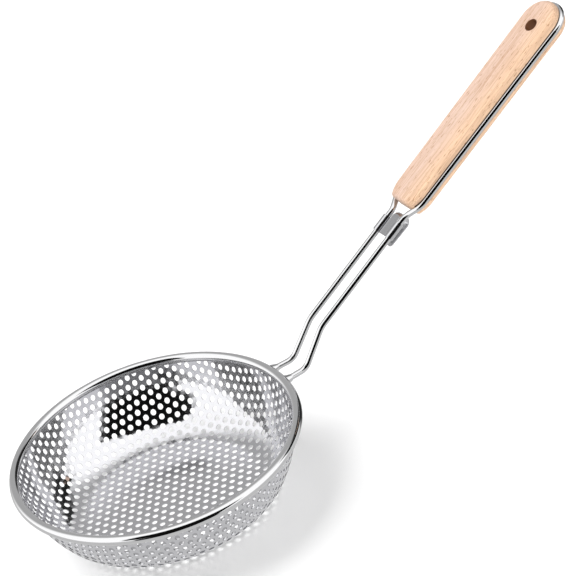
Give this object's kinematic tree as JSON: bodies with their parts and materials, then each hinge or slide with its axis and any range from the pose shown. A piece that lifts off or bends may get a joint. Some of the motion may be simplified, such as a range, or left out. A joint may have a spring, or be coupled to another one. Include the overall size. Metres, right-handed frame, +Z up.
{
  "type": "spider skimmer",
  "caption": "Spider skimmer: a shallow perforated steel bowl with a bound rim, a bent double-wire handle with a pot-rim hook clip, and a wooden grip with a hanging hole.",
  "frame": {"origin": "middle of the bowl's flat underside", "axes": "+Z up out of the bowl, +X from the bowl towards the grip, and the object mirrors about y = 0"},
  "size_m": [0.3521, 0.15, 0.1542],
  "materials": {
    "punched_steel": "polished punched sheet",
    "polished_steel": "polished wire and strip",
    "satin_steel": "satin sheet",
    "beech": "sanded, unvarnished"
  },
  "bodies": {
    "root": {"bowl": "punched_steel", "rim_band": "polished_steel", "rim_wire": "polished_steel", "handle_wire": "polished_steel", "weld_beads": "polished_steel", "hook_clip": "satin_steel", "grip": "beech"}
  },
  "joints": []
}
